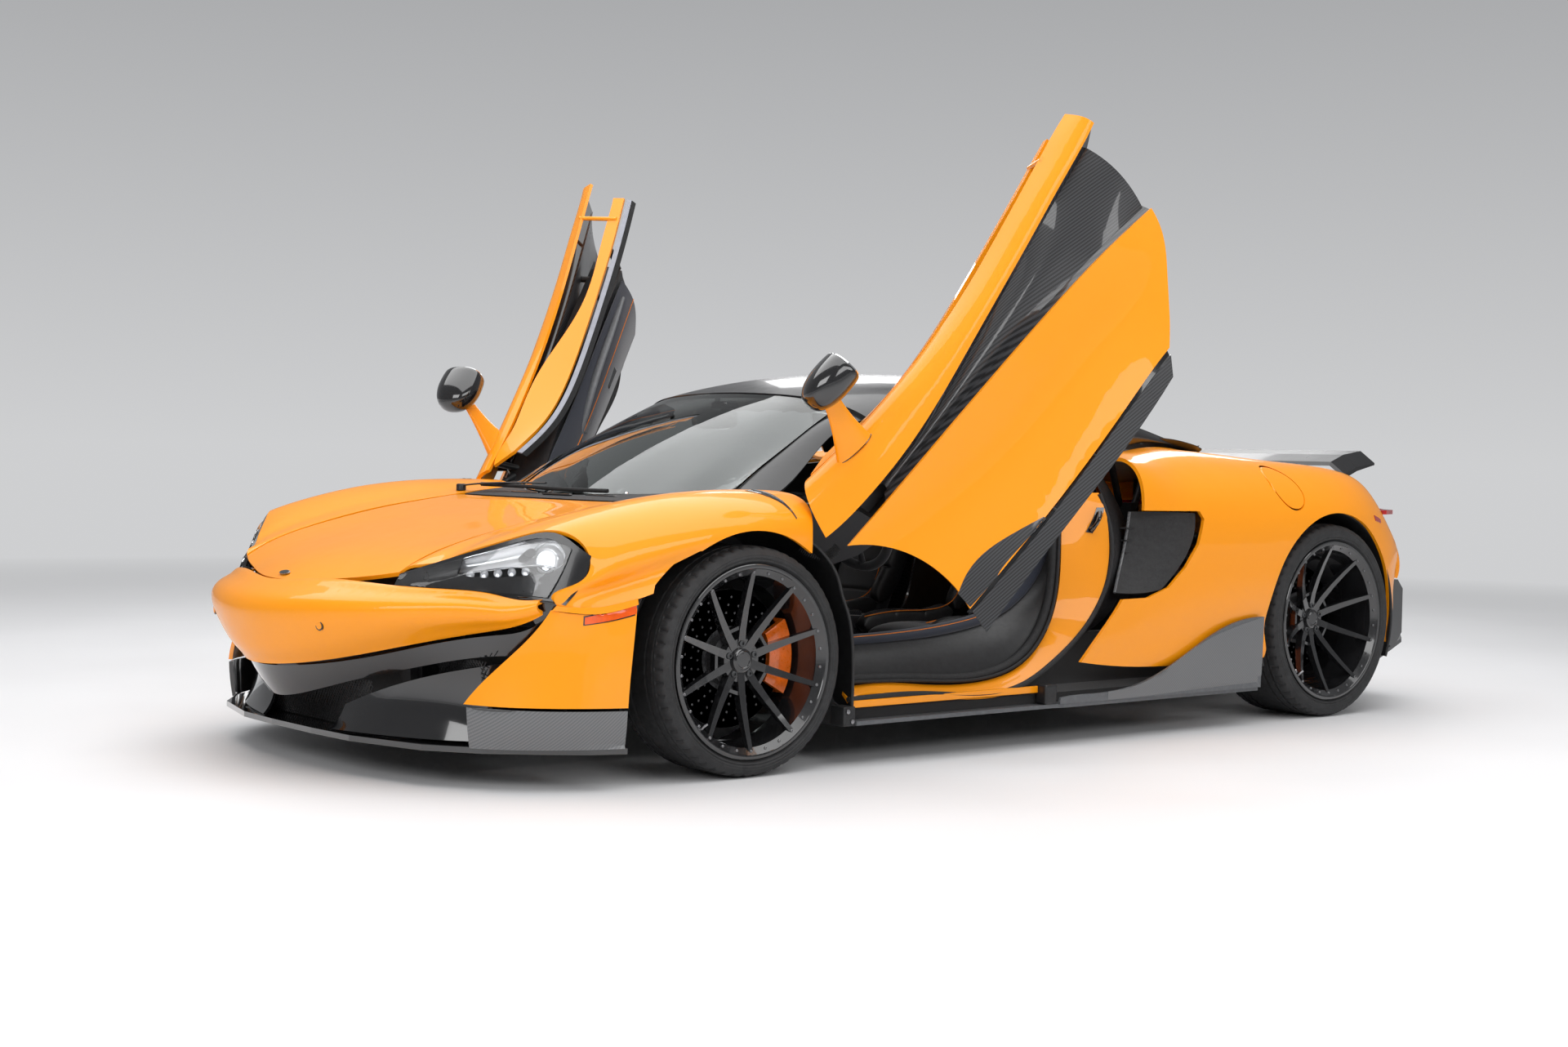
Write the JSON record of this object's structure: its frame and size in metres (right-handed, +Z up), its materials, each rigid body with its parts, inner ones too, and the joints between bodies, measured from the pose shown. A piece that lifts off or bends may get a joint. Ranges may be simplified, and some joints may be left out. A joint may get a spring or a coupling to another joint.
{
  "type": "mid-engined supercar",
  "caption": "Low two-seat sports car with upward-swinging doors held open, a front lid, a fixed rear wing and spoked alloy wheels.",
  "frame": {"origin": "middle of the bottom of the bounding box, on the ground under the car", "axes": "+X forwards, +Y to the car's left, +Z up"},
  "size_m": [4.604, 2.9242, 1.9253],
  "materials": {
    "paint": "high gloss orange",
    "black_paint": "gloss black",
    "carbon": "clear-coated carbon weave",
    "glass": "tinted",
    "lamp": "dark lens",
    "structure": "satin black",
    "alloy": "cast",
    "rim_black": "gloss black",
    "tyre": "matte",
    "disc": "drilled, matt grey",
    "caliper": "gloss orange",
    "trim": "dark suede and hide",
    "red_lamp": "red lens",
    "steel": "brushed",
    "engine_metal": "cast"
  },
  "bodies": {
    "chassis": {"floor_tub": "structure", "front_bulkhead": "structure", "intake_ducts": "black_paint", "door_frames": "paint", "side_skirts": "carbon", "front_structure": "structure", "rear_structure": "structure", "engine": "engine_metal", "front_fenders": "paint", "cowl": "black_paint", "headlamps": "lamp", "front_bumper": "paint", "lower_nose": "black_paint", "splitter": "carbon", "roof": "black_paint", "windscreen": "glass", "rear_quarters": "paint", "engine_deck": "black_paint", "rear_fascia": "black_paint", "diffuser": "carbon", "rear_wing": "carbon", "exhaust": "steel", "tail_lamps": "red_lamp", "seats": "trim", "dashboard": "trim", "suspension_arms": "alloy", "rear_uprights": "alloy", "rear_calipers": "caliper"},
    "front_lid": {"front_lid": "paint"},
    "fuel_flap": {"fuel_flap": "paint"},
    "steering_wheel": {"steering_wheel": "trim"},
    "door_left": {"door_skin_left": "paint", "door_blade_left": "paint", "door_carbon_left": "carbon", "door_belt_left": "paint", "door_inner_left": "trim", "mirror_left": "carbon"},
    "door_right": {"door_skin_right": "paint", "door_blade_right": "paint", "door_carbon_right": "carbon", "door_belt_right": "paint", "door_inner_right": "trim", "mirror_right": "carbon"},
    "knuckle_left": {"knuckle_left": "alloy", "caliper_left": "caliper"},
    "knuckle_right": {"knuckle_right": "alloy", "caliper_right": "caliper"},
    "wheel_fl": {"tyre_fl": "tyre", "rim_fl": "rim_black", "disc_fl": "disc"},
    "wheel_fr": {"tyre_fr": "tyre", "rim_fr": "rim_black", "disc_fr": "disc"},
    "wheel_rl": {"tyre_rl": "tyre", "rim_rl": "rim_black", "disc_rl": "disc"},
    "wheel_rr": {"tyre_rr": "tyre", "rim_rr": "rim_black", "disc_rr": "disc"}
  },
  "joints": [
    {"name": "door_left_swing", "type": "hinge", "parent": "chassis", "child": "door_left", "pos_m": [0.96, 0.85, 0.755], "axis": [0.186, 0.8639, -0.468], "range_deg": [-56.3, 0]},
    {"name": "door_right_swing", "type": "hinge", "parent": "chassis", "child": "door_right", "pos_m": [0.96, -0.85, 0.755], "axis": [0.186, -0.8639, -0.468], "range_deg": [0, 56.3]},
    {"name": "steer_left", "type": "hinge", "parent": "chassis", "child": "knuckle_left", "pos_m": [1.208, 0.752, 0.326], "axis": [0, 0, 1], "range_deg": [-30, 30]},
    {"name": "steer_right", "type": "hinge", "parent": "chassis", "child": "knuckle_right", "pos_m": [1.208, -0.752, 0.326], "axis": [0, 0, 1], "range_deg": [-30, 30]},
    {"name": "steering_wheel_turn", "type": "hinge", "parent": "chassis", "child": "steering_wheel", "pos_m": [0.343, 0.37, 0.708], "axis": [-0.9417, 0, 0.3363], "range_deg": [-400, 400]},
    {"name": "front_lid_hinge", "type": "hinge", "parent": "chassis", "child": "front_lid", "pos_m": [1.325, 0, 0.735], "axis": [0, 1, 0], "range_deg": [-60, 0]},
    {"name": "fuel_flap_hinge", "type": "hinge", "parent": "chassis", "child": "fuel_flap", "pos_m": [-1.154, 0.907, 0.82], "axis": [0, 0.5457, -0.838], "range_deg": [0, 90]},
    {"name": "wheel_fl_spin", "type": "hinge", "parent": "knuckle_left", "child": "wheel_fl", "pos_m": [1.208, 0.85, 0.326], "axis": [0, 1, 0], "continuous": true},
    {"name": "wheel_fr_spin", "type": "hinge", "parent": "knuckle_right", "child": "wheel_fr", "pos_m": [1.208, -0.85, 0.326], "axis": [0, 1, 0], "continuous": true},
    {"name": "wheel_rl_spin", "type": "hinge", "parent": "chassis", "child": "wheel_rl", "pos_m": [-1.462, 0.82, 0.3465], "axis": [0, 1, 0], "continuous": true},
    {"name": "wheel_rr_spin", "type": "hinge", "parent": "chassis", "child": "wheel_rr", "pos_m": [-1.462, -0.82, 0.3465], "axis": [0, 1, 0], "continuous": true}
  ],
  "couplings": [
    {"joint": "steer_right", "follows": "steer_left", "ratio": 1}
  ]
}
